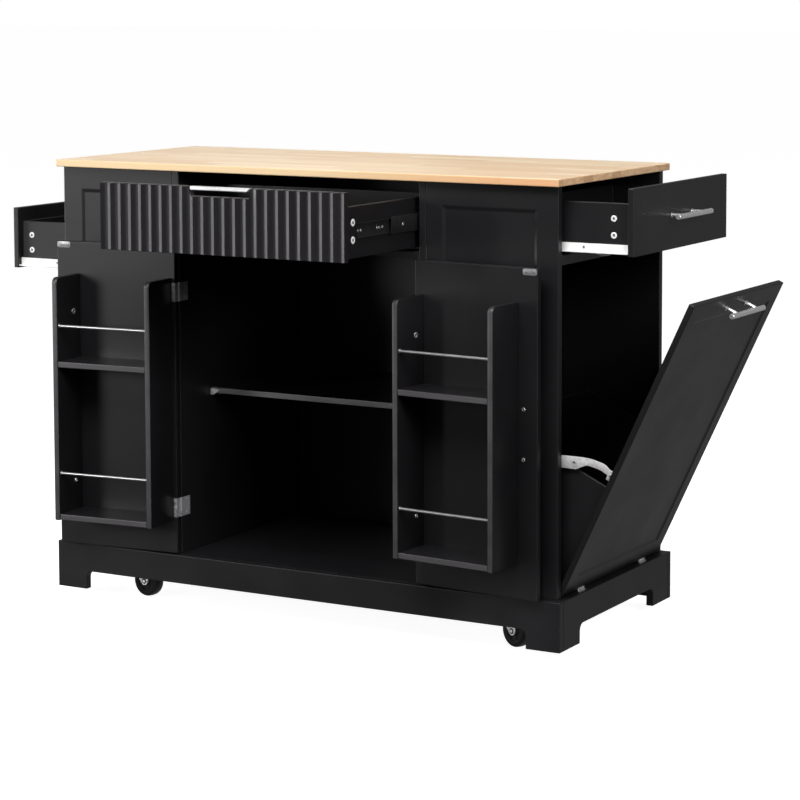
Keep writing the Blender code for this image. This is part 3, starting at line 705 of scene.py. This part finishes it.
# ---- slides
def end_slides(side, sign):
    """White roller slides: a folded member under each side of the box, and one on the cabinet."""
    front, back = END_INNER
    outer = sign * (HALF_WIDTH - THIN)
    inner = outer - sign * END_TRAY_LENGTH
    top = END_FRONT_Z[side] + END_TRAY_Z[0] - GAP
    body = side + "_drawer"
    wall, web, foot = 0.0013, 0.0030, SLIDE_DROP
    # How far out from the box's side, and how far down, each corner lies.
    folds = [(-0.0100, 0), (web, 0), (web, foot - wall), (0.0100, foot - wall), (0.0110, foot - 0.0025)]
    folds += [(0.0110, foot), (web - wall, foot), (web - wall, wall), (-0.0100, wall)]
    roller = button((0.0062, 0), (0.0066, 0.0006), (0.0066, 0.0048), (0.0062, 0.0054))
    for edge, y, panel, out in (("front", END_BOX_Y[0], front, -1), ("back", END_BOX_Y[1], back, 1)):
        profile = [(y + out * reach, top - drop) for reach, drop in folds]
        bm = prism(profile, "X", *sorted((outer - sign * GAP, inner)), edge=0.0002)
        for reach in END_SCREWS:
            where = (outer - sign * reach, y + out * web, top - 0.0072)
            cross_head(bm, where, out * Y, 0.0030, 0.0009, finish=1, dark=2)
        joined(bm, lathe(roller), aimed((inner + sign * 0.012, y + out * 0.0032, top - 0.0085), out * Y))
        node = f"{side}_slide_{edge}"
        piece(node + "_member", bm, body, "white_epoxy_steel", WHITE, NICKEL, RECESS_SHADE_AND_WASHER_BLACK, replaced=[node])

        # The cabinet's member: a strip on the panel, with a lip that the roller runs on.
        face = panel - out * GAP
        start, end = sorted(sign * (HALF_WIDTH - reach) for reach in END_RAIL)
        skin = face - out * 0.0011
        bm = prism(rectangle(face, top + 0.0040, skin, top - 0.0215), "X", start, end, edge=0.0003)
        lip = rectangle(face, top - 0.0192, face - out * 0.0085, top - 0.0204)
        prism(lip, "X", start, end, edge=0.0003, bm=bm)
        for reach in END_RAIL_SCREWS:
            where = (sign * (HALF_WIDTH - reach), skin, top + 0.0005)
            cross_head(bm, where, -out * Y, 0.0026, 0.0007, finish=1, dark=2)
        piece(f"{side}_slide_{edge}_rail", bm, "cabinet", "white_epoxy_steel", WHITE, NICKEL, RECESS_SHADE_AND_WASHER_BLACK)


def slide_clip(side, sign):
    """The small clip that hangs under a drawer's front slide."""
    bm = block((-0.0140, -0.0042, -0.0026), (0.0140, 0.0046, 0.0004), 0.0009)
    joined(bm, block((-0.0095, -0.0034, -0.0049), (0.0095, 0.0040, -0.0020), 0.0009))
    y = END_INNER[0] + 0.0138
    top = END_FRONT_Z[side] + END_TRAY_Z[0] - GAP - SLIDE_DROP
    bmesh.ops.translate(bm, verts=bm.verts, vec=(sign * (HALF_WIDTH - 0.066), y, top))
    piece(f"{side}_drawer_clip", bm, side + "_drawer", "zinc_plated_steel", PALE_STEEL)


def centre_slides():
    """Ball-bearing slides beside the middle drawer: member, carriage and channel, nested."""
    low, high = CENTRE_SLIDE_Z
    middle = (low + high) / 2
    front = FRONT + BOARD
    thick = 0.0011
    finishes = (SLIDE_BLACK, NICKEL, RECESS_SHADE_AND_WASHER_BLACK)

    def channel(height_gap, near, turn, reach, start, end):
        """A channel along Y: its web at near, its flanges reaching out towards turn."""
        z_low, z_high = low + height_gap, high - height_gap
        web, tip = near + turn * thick, near + turn * reach
        outline = [(near, z_low), (tip, z_low), (tip, z_low + thick), (web, z_low + thick)]
        outline += [(web, z_high - thick), (tip, z_high - thick), (tip, z_high), (near, z_high)]
        return prism(outline, "Y", start, end, edge=0.0002)

    for side, wall_x, sign in HINGED:
        near = wall_x + sign * (SLIDE_SPACE - GAP)  # just off the drawer box
        bm = channel(0.0035, near, -sign, 0.0040, front + 0.045, front + 0.370)
        for reach in CENTRE_SCREWS:
            where = (near - sign * thick, front + reach, middle)
            cross_head(bm, where, -sign * X, 0.0027, 0.0010, finish=1, dark=2)
        node = "centre_slide_" + side
        piece(node + "_member", bm, "centre_drawer", "black_slide_steel", *finishes, replaced=[node])

        near -= sign * 0.0068
        bm = channel(0.0010, near, sign, 0.0058, front + 0.161, front + 0.415)
        cross_head(bm, (near, front + 0.205, middle), -sign * X, 0.0036, 0.0009, finish=1, dark=2)
        piece(node + "_carriage", bm, "centre_drawer", "black_slide_steel", *finishes)

        near = wall_x + sign * GAP
        bm = channel(-0.0015, near, sign, 0.0085, FRONT + 0.018, FRONT + 0.400)
        for reach in CENTRE_RAIL_SCREWS:
            where = (near + sign * thick, FRONT + reach, middle)
            cross_head(bm, where, sign * X, 0.0031, 0.0008, finish=1, dark=2)
        piece(node + "_channel", bm, "cabinet", "black_slide_steel", *finishes)


# ---- cams and screws
def drawer_cams():
    """White cam covers near the front of every drawer's side boards."""
    for side, sign in ENDS:
        rim = END_FRONT_Z[side] + END_TRAY_Z[1]
        x = sign * (HALF_WIDTH - THIN - END_CAMS[side])
        bm = bmesh.new()
        for y, out in zip(END_BOX_Y, (-1, 1)):
            for drop in END_CAM_DROPS:
                cross_head(bm, (x, y, rim - drop), out * Y, 0.0062, **CAM_HEAD)
        piece(side + "_drawer_cams", bm, side + "_drawer", "white_epoxy_steel", WHITE, RECESS_SHADE_AND_WASHER_BLACK)
    bm = bmesh.new()
    y = FRONT + BOARD + CENTRE_CAM
    for _, wall_x, sign in HINGED:
        for drop in CENTRE_CAM_DROPS:
            where = (wall_x + sign * SLIDE_SPACE, y, CENTRE_TRAY_Z[1] - drop)
            cross_head(bm, where, -sign * X, 0.0070, **CAM_HEAD)
    piece("centre_drawer_cams", bm, "centre_drawer", "white_epoxy_steel", WHITE, RECESS_SHADE_AND_WASHER_BLACK)


def shelf_pins():
    """Plated pins under the ends of the loose shelves."""
    bm = bmesh.new()
    pin = button((0.0026, 0), (0.0028, 0.0004), (0.0028, 0.0088), (0.0022, 0.0094))
    collar = button((0.0046, 0), (0.0046, 0.0014), (0.0040, 0.0018))
    front, under = CENTRE_SHELF
    places = []
    for _, wall_x, sign in HINGED:
        places += [(wall_x, y, under, sign * X) for y in (front + 0.030, BACK - BOARD - 0.050)]
    for y, direction in ((END_INNER[0], Y), (END_INNER[1], -Y)):
        for x in (-HALF_WIDTH + 0.055, OPENING_LEFT - BOARD - 0.045):
            places.append((x, y, LEFT_SHELF_UNDER, direction))
    for x, y, z, direction in places:
        joined(bm, lathe(pin, 20), aimed((x, y, z - 0.0031), direction))
        joined(bm, lathe(collar, 20), aimed((x, y, z - 0.0050), direction))
    piece("shelf_pins", bm, "cabinet", "zinc_plated_steel", NICKEL)

    # White clips hold the middle shelf's front corners to the partitions.
    bm = bmesh.new()
    for _, wall_x, sign in HINGED:
        corners = ((GAP, -0.0030), (0.0075, -0.0030), (0.0190, 0.0050), (0.0190, 0.0080), (GAP, 0.0100))
        outline = [(wall_x + sign * reach, under + rise) for reach, rise in corners]
        prism(outline, "Y", front - 0.0042, front - GAP, edge=0.0008, bm=bm)
        cross_head(bm, (wall_x + sign * 0.0048, front - 0.0042, under + 0.0035), -Y, 0.0020, 0.0004)
    piece("shelf_clips", bm, "cabinet", "white_epoxy_steel", WHITE, RECESS_SHADE_AND_WASHER_BLACK)


# ---- door fittings
def knuckle_row(leaves, middle, axis, half, radius):
    """A hinge's knuckles along its axis, on one leaf and the other by turns."""
    length = 2 * half / KNUCKLES
    for index in range(KNUCKLES):
        start = middle + (index * length - half + 0.0002) * axis
        joined(leaves[index % 2], bar(start, start + (length - 0.0004) * axis, radius, 0.0002, 20))


def door_hinges(side, hinge_x, sign):
    """Two butt hinges: one leaf on the partition, one folded round the door's edge."""
    half, radius, leaf = 0.0195, 0.0018, 0.0007
    screws = (-0.012, 0.0, 0.012)
    y = DOOR_AXIS_Y
    fixed, moving = bmesh.new(), bmesh.new()
    for middle in DOOR_HINGES:
        knuckle_row((fixed, moving), Vector((hinge_x, y, middle)), Z, half, radius)
        low, high = middle - half, middle + half
        xs = sorted((hinge_x, hinge_x + sign * leaf))
        block((xs[0], y + 0.0019, low), (xs[1], FRONT + 0.0290, high), 0.0002, 1, fixed)
        for step in screws:
            where = (hinge_x + sign * leaf, FRONT + (0.0195 if step else 0.0245), middle + step)
            cross_head(fixed, where, sign * X, 0.0029, 0.0006)
        edge = hinge_x + sign * (DOOR_EDGE_GAP - 0.0001)
        xs = sorted((edge - sign * 0.0006, edge))
        block((xs[0], y + 0.0019, low), (xs[1], DOOR_INNER + leaf, high), 0.0002, 1, moving)
        xs = sorted((edge - sign * 0.0006, edge + sign * (RACK_OFFSET - 0.0006)))
        block((xs[0], DOOR_INNER + 0.0001, low), (xs[1], DOOR_INNER + leaf, high), 0.0002, 1, moving)
        for step in screws:
            where = (edge + sign * 0.0042, DOOR_INNER + leaf, middle + step)
            cross_head(moving, where, Y, 0.0026, 0.0006)
    piece(f"{side}_door_hinge_leaves_cabinet", fixed, "cabinet", "zinc_plated_steel", HINGE, RECESS_SHADE_AND_WASHER_BLACK)
    piece(f"{side}_door_hinge_leaves_door", moving, side + "_door", "zinc_plated_steel", HINGE, RECESS_SHADE_AND_WASHER_BLACK)


def strike_plate(side, hinge_x, sign):
    """A pressed steel plate at the free top corner of the door's inner face."""
    free = hinge_x + sign * (DOOR_EDGE_GAP + DOOR_WIDTH)
    width, height = 0.0312, 0.0125
    x0, x1 = sorted((free - sign * 0.0012, free - sign * (0.0012 + width)))
    top = DOOR_TOP - 0.0012
    radius = 0.0040

    def plate(grow, y0, y1, edge):
        left, right, low, high = x0 + grow, x1 - grow, top - height + grow, top - grow
        r = max(radius - grow, 0.0012)
        outline = arc((right - r, high - r), r, 0, 90, 6) + arc((left + r, high - r), r, 90, 180, 6)
        outline += arc((left + r, low + r), r, 180, 270, 6) + arc((right - r, low + r), r, 270, 360, 6)
        return prism(outline, "Y", y0, y1, edge)

    bm = plate(0.0, DOOR_INNER + 0.0001, DOOR_INNER + 0.0010, 0.0002)
    joined(bm, plate(0.0030, DOOR_INNER + 0.0008, DOOR_INNER + 0.0015, 0.0003))
    for share in (0.22, 0.78):
        where = (x0 + width * share, DOOR_INNER + 0.0015, top - height / 2)
        cross_head(bm, where, Y, 0.0024, 0.0006)
    for share in (0.40, 0.50, 0.60):
        x = x0 + width * share
        low = (x - 0.0008, DOOR_INNER + 0.0012, top - height + 0.0045)
        high = (x + 0.0008, DOOR_INNER + 0.0019, top - 0.0045)
        block(low, high, 0.0003, 1, bm)
    piece(side + "_strike_plate", bm, side + "_door", "zinc_plated_steel", STRIKE, RECESS_SHADE_AND_WASHER_BLACK)

    # Its magnetic catch hangs under the drawer rail.
    y = DOOR_INNER + 0.0038
    middle = (x0 + x1) / 2
    bm = block((middle - 0.014, y, DOOR_TOP - 0.0130), (middle + 0.014, y + 0.016, DOOR_TOP + 0.0015), 0.0012)
    low, high = (middle - 0.011, y - 0.0010, top - 0.0093), (middle + 0.011, y + 0.002, top - 0.0018)
    joined(bm, block(low, high, 0.0004), finish=1)
    piece(side + "_door_catch", bm, "cabinet", "caster_wheel", TYRE, ZINC)


def bin_hinges():
    """Two butt hinges along the bin door's foot."""
    x, z = BIN_AXIS
    half, radius, leaf = 0.0135, 0.00145, 0.0008
    fixed, moving = bmesh.new(), bmesh.new()
    for middle in (MIDDLE_Y - 0.140, MIDDLE_Y + 0.140):
        knuckle_row((fixed, moving), Vector((x, middle, z)), Y, half, radius)
        low, high = middle - half, middle + half
        block((x + 0.0002, low, PLINTH_TOP + 0.0001), (x + 0.0048, high, PLINTH_TOP + leaf), 0.0002, 1, fixed)
        ends = (HALF_WIDTH + 0.0001, low, z + 0.0004), (HALF_WIDTH + leaf, high, z + 0.0044)
        block(*ends, 0.0002, 1, moving)
        for step in (-0.008, 0.008):
            cross_head(fixed, (x + 0.0030, middle + step, PLINTH_TOP + leaf), Z, 0.0013, 0.0004)
            cross_head(moving, (HALF_WIDTH + leaf, middle + step, z + 0.0030), X, 0.0013, 0.0004)
    piece("bin_hinge_leaves_cabinet", fixed, "cabinet", "zinc_plated_steel", HINGE, RECESS_SHADE_AND_WASHER_BLACK)
    piece("bin_hinge_leaves_door", moving, "bin", "zinc_plated_steel", HINGE, RECESS_SHADE_AND_WASHER_BLACK)


def stay():
    """The bin's curved arm, its rivet and its foot on the door; its guide on the front panel."""
    axis_x, axis_z = BIN_AXIS
    y0, y1 = FRONT + BOARD + 0.0080, FRONT + BOARD + 0.0100

    def polar(radius, degrees):
        a = math.radians(degrees)
        return (axis_x - radius * math.sin(a), axis_z + radius * math.cos(a))

    def ramp(angle, start, length):
        """0 up to the start angle, then rising to 1."""
        return min(1.0, max(0.0, (angle - start) / length))

    first, last, steps = 3.4, 34.0, 34
    upper, lower = [], []
    for step in range(steps + 1):
        angle = first + (last - first) * step / steps
        rise = ramp(angle, first, 5.0)
        outside = 0.0070 + 0.0088 * math.sin(math.pi / 2 * rise) - 0.0035 * ramp(angle, 14.0, 8.0)
        inside = 0.0030 - 0.0045 * rise + 0.0133 * ramp(angle, 14.5, 5.0) ** 1.2
        upper.append(polar(STAY_RADIUS + outside, angle))
        lower.append(polar(STAY_RADIUS - inside, angle))
    bm = prism(upper + lower[::-1], "Y", y0, y1, edge=0.0005)

    x, z = polar(STAY_RADIUS + 0.0025, 20.5)
    rivet_at = aimed((x, y0 + 0.0002, z), -Y)
    boss = button((0.0090, 0), (0.0090, 0.0004), (0.0082, 0.0008), (0.0060, 0.0008))
    joined(bm, lathe(boss, 40), rivet_at)
    rivet = button((0.0034, 0), (0.0034, 0.0014), (0.0028, 0.0022), (0.0014, 0.0025))
    joined(bm, lathe(rivet, 28), rivet_at, 1)

    x, z = polar(STAY_RADIUS, first)
    low, high = (x - 0.006, y0 - 0.0022, z - 0.010), (HALF_WIDTH - THIN - 0.0004, y1 + 0.0010, z + 0.010)
    block(low, high, 0.0012, 2, bm)
    cross_head(bm, (x + 0.001, y0 - 0.0022, z), -Y, 0.0034, 0.0008, finish=1, dark=2)
    piece("bin_stay_arm", bm, "bin", "zinc_plated_steel", PALE_STEEL, NICKEL, RECESS_SHADE_AND_WASHER_BLACK, replaced=["bin_stay"])

    # The guide: a foot on the panel, two studs and a bar across them, in front of the arm.
    x, z = polar(STAY_RADIUS, 33.0)
    left, right, panel = x - 0.0038, x + 0.0038, FRONT + BOARD
    bm = block((left, panel + GAP, z - 0.027), (right, panel + 0.0022, z + 0.027), 0.0009)
    for stud in (z - 0.019, z + 0.019):
        block((left, panel + 0.0012, stud - 0.0018), (right, panel + 0.0124, stud + 0.0018), 0.0008, 2, bm)
    block((left, panel + 0.0110, z - 0.0205), (right, panel + 0.0126, z + 0.0205), 0.0006, 2, bm)
    piece("stay_guide", bm, "cabinet", "zinc_plated_steel", ZINC)


# ---- casters
def caster_fork(name, swivel):
    """A pressed fork with its double ball race, and the axle bolt through both legs."""
    inner = WHEEL_WIDTH / 2 + 0.0012
    plate = 0.0020
    outer = inner + plate
    bridge = 2 * WHEEL_RADIUS + 0.004
    tip = 0.0085
    back, ahead = -0.014, CASTER_TRAIL + tip
    bm = block((back, -outer, bridge - 0.0006), (ahead, outer, bridge + plate), 0.0012)
    leg = [(back, bridge + 0.0010), *arc((CASTER_TRAIL, WHEEL_RADIUS), tip, -145, 0, 12)]
    leg.append((ahead, bridge + 0.0010))
    for side in (-1, 1):
        prism(leg, "Y", *sorted((side * inner, side * outer)), edge=0.0004, bm=bm)
        where = (CASTER_TRAIL, side * outer, WHEEL_RADIUS)
        washer = button((0.0058, 0), (0.0058, 0.0004), (0.0054, 0.0006))
        joined(bm, lathe(washer, 28), aimed(where, side * Y), 1)
        nut = button((0.0032, 0), (0.0032, 0.0014), (0.0027, 0.0021), (0.0015, 0.0023))
        joined(bm, lathe(nut, 6 if side > 0 else 24), aimed(where, side * Y), 2)
    axle = bar((CASTER_TRAIL, -outer, WHEEL_RADIUS), (CASTER_TRAIL, outer, WHEEL_RADIUS), 0.0029)
    joined(bm, axle, finish=2)
    top = CASTER_TOP
    race = [(0.0150, plate - 0.0005), (0.0185, 0.0060), (0.0200, 0.0110), (0.0205, 0.0165), (0.0190, 0.0190)]
    race = [(radius, bridge + rise) for radius, rise in (*race, (0.0215, 0.0210))]
    joined(bm, lathe([(0, bridge), *race, (0.0215, top - 0.0040), (0, top - 0.0040)], 36))
    finishes, where = (FORK_STEEL, RECESS_SHADE_AND_WASHER_BLACK, WHITE), {"matrix": swivel, "replaced": [name + "_fork"]}
    piece(name + "_fork_and_race", bm, name + "_swivel", "zinc_plated_steel", *finishes, **where)


def caster_wheel(name, roller):
    """A moulded wheel: crowned tread, dished web with ribs, and hub."""
    half = WHEEL_WIDTH / 2
    r = WHEEL_RADIUS
    # Each point's radius, and how far in from the wheel's side it lies.
    side = [(0.0034, 0), (0.0080, 0), (0.0092, 0.0008), (0.0098, 0.0034), (0.0190, 0.0034), (0.0200, 0.0012)]
    side += [(r - 0.0040, 0.0006), (r - 0.0016, 0.0018), (r - 0.0005, 0.0045)]
    side = [(radius, depth - half) for radius, depth in side]
    profile = side + [(r, 0.0)] + [(radius, -z) for radius, z in reversed(side)]
    bm = lathe(profile, 48)
    for index in range(6):
        turn = Matrix.Rotation(math.tau * index / 6, 4, "Z")
        for face in (-1, 1):
            z0, z1 = sorted((face * (half - 0.0036), face * (half - 0.0018)))
            joined(bm, block((0.0085, -0.0009, z0), (0.0196, 0.0009, z1), 0.0003), turn)
    where = {"matrix": roller @ Matrix.Rotation(math.radians(90), 4, "X"), "replaced": [name + "_wheel"]}
    piece(name + "_moulded_wheel", bm, name + "_roller", "caster_wheel", TYRE, **where)


def caster_plate(name, pivot):
    """The top plate under the deck with its four bolts."""
    top = CASTER_TOP + GAP
    bm = block((-0.026, -0.030, top - 0.0030), (0.026, 0.030, top - 0.0002), 0.0011)
    for x in (-0.019, 0.019):
        for y in (-0.023, 0.023):
            cross_head(bm, (x, y, top - 0.0030), -Z, 0.0042, 0.0018, finish=1, dark=2)
    where = Matrix.Translation((pivot.x, pivot.y, 0))
    piece(name + "_top_plate", bm, "cabinet", "zinc_plated_steel", ZINC, NICKEL, RECESS_SHADE_AND_WASHER_BLACK, matrix=where)


def casters():
    """Fork, wheel and top plate of each caster, turned the way the frame's joints stand."""
    joints = {joint["name"]: joint for joint in frame["joints"]}
    for depth in ("front", "back"):
        for end in ("left", "right"):
            name = f"caster_{depth}_{end}"
            swivel = joints[name + "_swivel_joint"]
            wheel = joints[name + "_wheel_joint"]
            pivot, axle = Vector(swivel["pos_m"]), Vector(wheel["pos_m"])
            turn = Matrix.Rotation(math.atan2(axle.y - pivot.y, axle.x - pivot.x), 4, "Z")
            caster_fork(name, Matrix.Translation((pivot.x, pivot.y, 0)) @ turn)
            caster_wheel(name, Matrix.Translation(axle) @ turn)
            caster_plate(name, pivot)


# ---- everything
for side, hinge_x, sign in HINGED:
    rack_sides(side, hinge_x, sign)
    rack_rails(side, hinge_x, sign)
    rack_fasteners(side, hinge_x, sign)
    door_hinges(side, hinge_x, sign)
    strike_plate(side, hinge_x, sign)
fluted_front()
drawer_pull()
handles()
for side, sign in ENDS:
    end_slides(side, sign)
slide_clip("right", 1)
centre_slides()
drawer_cams()
shelf_pins()
bin_hinges()
stay()
casters()


# ---- studio
def pale_floor():
    """A pale floor that glows a little, so that the cart's shadow on it stays faint."""
    bm = bmesh.new()
    bmesh.ops.create_grid(bm, x_segments=1, y_segments=1, size=60.0)
    mesh = bpy.data.meshes.new("floor")
    bm.to_mesh(mesh)
    bm.free()
    made = Finish("pale_floor", roughness=0.7, specular_ior_level=0.0, emission_strength=0.94)
    made.link(made.mix(made.noise(2.0), (0.52, 0.52, 0.52), (0.56, 0.56, 0.56)), made.shader, "Base Color")
    mesh.materials.append(made.material)
    floor = bpy.data.objects.new("floor", mesh)
    bpy.context.scene.collection.objects.link(floor)
    floor.location.z = -0.0005
    floor.visible_glossy = False
    floor.visible_diffuse = False


def lamp(kind, name, location, target, energy):
    """A lamp at location that points at target."""
    light = bpy.data.lights.new(name, kind)
    light.energy = energy
    made = bpy.data.objects.new(name, light)
    made.location = location
    made.rotation_euler = (Vector(target) - Vector(location)).to_track_quat("-Z", "Y").to_euler()
    bpy.context.scene.collection.objects.link(made)
    return made


def softbox(name, location, target, size, energy):
    """A rectangular panel of light, unseen by the camera."""
    made = lamp("AREA", name, location, target, energy)
    made.data.shape = "RECTANGLE"
    made.data.size, made.data.size_y = size
    made.visible_camera = False


def spot(name, location, target, angle, radius, energy):
    """A soft-edged beam, bright at its target and fading to the sides."""
    light = lamp("SPOT", name, location, target, energy).data
    light.spot_size = math.radians(angle)
    light.spot_blend = 1.0
    light.shadow_soft_size = radius


def studio_world():
    """White for the camera; dim around the cart, a little brighter low down behind it."""
    world = bpy.data.worlds.new("studio")
    bpy.context.scene.world = world
    world.use_nodes = True
    tree = world.node_tree
    background = tree.nodes["Background"]
    coordinates = tree.nodes.new("ShaderNodeTexCoord")
    behind = tree.nodes.new("ShaderNodeVectorMath")
    behind.operation = "DOT_PRODUCT"
    behind.inputs[1].default_value = (0.0, 0.80, -0.60)
    tree.links.new(coordinates.outputs["Generated"], behind.inputs[0])
    ramp = tree.nodes.new("ShaderNodeMapRange")
    ramp.interpolation_type = "SMOOTHSTEP"
    for socket, value in (("From Min", 0.2), ("From Max", 1.0), ("To Min", 0.085), ("To Max", 0.25)):
        ramp.inputs[socket].default_value = value
    tree.links.new(behind.outputs["Value"], ramp.inputs["Value"])
    path = tree.nodes.new("ShaderNodeLightPath")
    brighter = tree.nodes.new("ShaderNodeMath")
    brighter.operation = "MAXIMUM"
    tree.links.new(ramp.outputs["Result"], brighter.inputs[0])
    tree.links.new(path.outputs["Is Camera Ray"], brighter.inputs[1])
    tree.links.new(brighter.outputs[0], background.inputs["Strength"])
    background.inputs["Color"].default_value = (1, 1, 1, 1)


def photographer():
    """The camera: low, to the right of the front, with a long lens."""
    lens = bpy.data.cameras.new("camera")
    lens.sensor_width = 36.0
    lens.lens = 115.57
    lens.shift_x, lens.shift_y = -0.10503, -0.23106
    camera = bpy.data.objects.new("camera", lens)
    camera.location = SHIFT @ Vector((2.7289, -4.5378, 1.2842))
    camera.rotation_euler = (math.pi / 2 - 0.0898, 0, 0.4929)
    bpy.context.scene.collection.objects.link(camera)
    bpy.context.scene.camera = camera


pale_floor()
studio_world()
softbox("main", (0.3, -2.3, 3.3), (0.0, -0.1, 0.5), (2.4, 1.2), 138)
softbox("top", (0.1, 0.9, 3.3), (0.0, 0.1, 0.9), (3.0, 2.0), 36)
softbox("fill", (3.2, -1.5, 2.0), (0.1, 0.0, 0.4), (1.3, 1.3), 74)
softbox("side", (-3.4, -1.2, 0.85), (-0.2, -0.4, 0.7), (1.6, 1.7), 49)
softbox("back_glow", (-3.0, 3.4, 1.5), (-0.4, 0.0, 0.9), (2.2, 1.2), 5)
spot("key", (-1.9, -3.0, 1.2), (-0.75, -0.25, 0.5), 32, 0.5, 160)
for end in ("left", "right"):
    target = sum(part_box(f"caster_front_{end}_fork"), Vector()) / 2
    target.z = WHEEL_RADIUS
    spot("caster_" + end, target + Vector((0.9, -2.6, 0.14)), target, 3.4, 0.12, 620)
photographer()
bpy.context.scene.view_settings.view_transform = "Standard"
